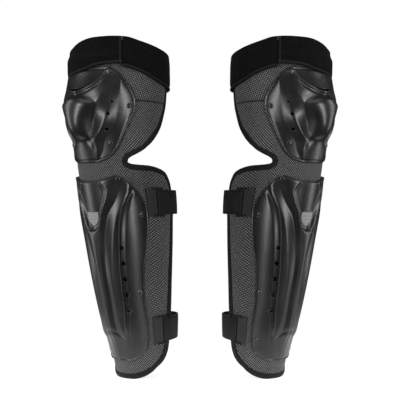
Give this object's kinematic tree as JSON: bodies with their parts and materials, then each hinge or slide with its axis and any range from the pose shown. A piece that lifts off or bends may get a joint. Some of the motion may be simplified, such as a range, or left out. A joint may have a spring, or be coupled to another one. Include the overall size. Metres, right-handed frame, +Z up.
{
  "type": "knee guards",
  "caption": "Pair of long knee and shin guards: moulded knee cups and shin shells riveted to padded fabric liners, closed behind the leg by hook and loop straps.",
  "frame": {"origin": "middle of the pair, level with the ankle hems", "axes": "+Z up the legs, +X from the left guard to the right guard, -Y towards the front of the pair"},
  "size_m": [0.401, 0.1768, 0.489],
  "materials": {
    "mesh_fabric": "dark grey spacer mesh with a light diamond pattern",
    "stretch_fabric": "dark grey stretch mesh",
    "edge_binding": "black woven edge tape",
    "pad_foam": "closed-cell foam under a thin lining",
    "moulded_shell": "satin black moulded plastic",
    "black_rivet": "black painted rivet",
    "backing_washer": "plain",
    "grey_grille": "light grey moulded insert",
    "ribbed_elastic": "black ribbed elastic",
    "smooth_tab": "smooth dark grey strap with a matt face",
    "loop_tape": "black loop tape",
    "hook_tape": "black hook tape",
    "fleece_band": "near-black brushed fleece"
  },
  "bodies": {
    "left_shin": {"left_shin_liner": "mesh_fabric", "left_shin_binding": "edge_binding", "left_shin_pad": "pad_foam", "left_shin_shell": "moulded_shell", "left_shin_rivets": "black_rivet", "left_shin_washers": "backing_washer", "left_shin_vent": "grey_grille", "left_upper_anchor": "ribbed_elastic", "left_upper_lead": "smooth_tab", "left_upper_loop": "loop_tape", "left_lower_anchor": "ribbed_elastic", "left_lower_lead": "smooth_tab", "left_lower_loop": "loop_tape", "left_knee_gusset": "stretch_fabric"},
    "right_shin": {"right_shin_liner": "mesh_fabric", "right_shin_binding": "edge_binding", "right_shin_pad": "pad_foam", "right_shin_shell": "moulded_shell", "right_shin_rivets": "black_rivet", "right_shin_washers": "backing_washer", "right_shin_vent": "grey_grille", "right_upper_anchor": "ribbed_elastic", "right_upper_lead": "smooth_tab", "right_upper_loop": "loop_tape", "right_lower_anchor": "ribbed_elastic", "right_lower_lead": "smooth_tab", "right_lower_loop": "loop_tape", "right_knee_gusset": "stretch_fabric"},
    "left_thigh": {"left_thigh_liner": "mesh_fabric", "left_thigh_binding": "edge_binding", "left_knee_pad": "pad_foam", "left_knee_cup": "moulded_shell", "left_cup_rivets": "black_rivet", "left_cup_washers": "backing_washer", "left_thigh_front_band": "fleece_band", "left_thigh_side_band": "fleece_band", "left_thigh_loop": "loop_tape"},
    "left_thigh_flap": {"left_thigh_strap": "fleece_band", "left_thigh_hook": "hook_tape"},
    "left_upper_flap": {"left_upper_strap": "smooth_tab", "left_upper_hook": "hook_tape"},
    "left_lower_flap": {"left_lower_strap": "smooth_tab", "left_lower_hook": "hook_tape"},
    "right_thigh": {"right_thigh_liner": "mesh_fabric", "right_thigh_binding": "edge_binding", "right_knee_pad": "pad_foam", "right_knee_cup": "moulded_shell", "right_cup_rivets": "black_rivet", "right_cup_washers": "backing_washer", "right_thigh_front_band": "fleece_band", "right_thigh_side_band": "fleece_band", "right_thigh_loop": "loop_tape"},
    "right_thigh_flap": {"right_thigh_strap": "fleece_band", "right_thigh_hook": "hook_tape"},
    "right_upper_flap": {"right_upper_strap": "smooth_tab", "right_upper_hook": "hook_tape"},
    "right_lower_flap": {"right_lower_strap": "smooth_tab", "right_lower_hook": "hook_tape"}
  },
  "joints": [
    {"name": "right_guard_aside", "type": "slide", "parent": "left_shin", "child": "right_shin", "axis": [1, 0, 0], "range_m": [0, 0.08]},
    {"name": "left_knee_flex", "type": "hinge", "parent": "left_shin", "child": "left_thigh", "pos_m": [-0.13573, -0.02238, 0.316], "axis": [-0.7431, 0.6691, 0], "range_deg": [0, 70], "deforming": ["left_knee_gusset"]},
    {"name": "left_thigh_strap_open", "type": "hinge", "parent": "left_thigh", "child": "left_thigh_flap", "pos_m": [-0.05408, 0.03222, 0.44], "axis": [0, 0, -1], "range_deg": [0, 90]},
    {"name": "left_upper_strap_open", "type": "hinge", "parent": "left_shin", "child": "left_upper_flap", "pos_m": [-0.03781, 0.05831, 0.259], "axis": [0, 0, -1], "range_deg": [0, 60]},
    {"name": "left_lower_strap_open", "type": "hinge", "parent": "left_shin", "child": "left_lower_flap", "pos_m": [-0.03599, 0.06685, 0.071], "axis": [0, 0, -1], "range_deg": [0, 60]},
    {"name": "right_knee_flex", "type": "hinge", "parent": "right_shin", "child": "right_thigh", "pos_m": [0.13573, -0.02238, 0.316], "axis": [-0.7431, -0.6691, 0], "range_deg": [0, 70], "deforming": ["right_knee_gusset"]},
    {"name": "right_thigh_strap_open", "type": "hinge", "parent": "right_thigh", "child": "right_thigh_flap", "pos_m": [0.05408, 0.03222, 0.44], "axis": [0, 0, 1], "range_deg": [0, 90]},
    {"name": "right_upper_strap_open", "type": "hinge", "parent": "right_shin", "child": "right_upper_flap", "pos_m": [0.03781, 0.05831, 0.259], "axis": [0, 0, 1], "range_deg": [0, 60]},
    {"name": "right_lower_strap_open", "type": "hinge", "parent": "right_shin", "child": "right_lower_flap", "pos_m": [0.03599, 0.06685, 0.071], "axis": [0, 0, 1], "range_deg": [0, 60]}
  ]
}
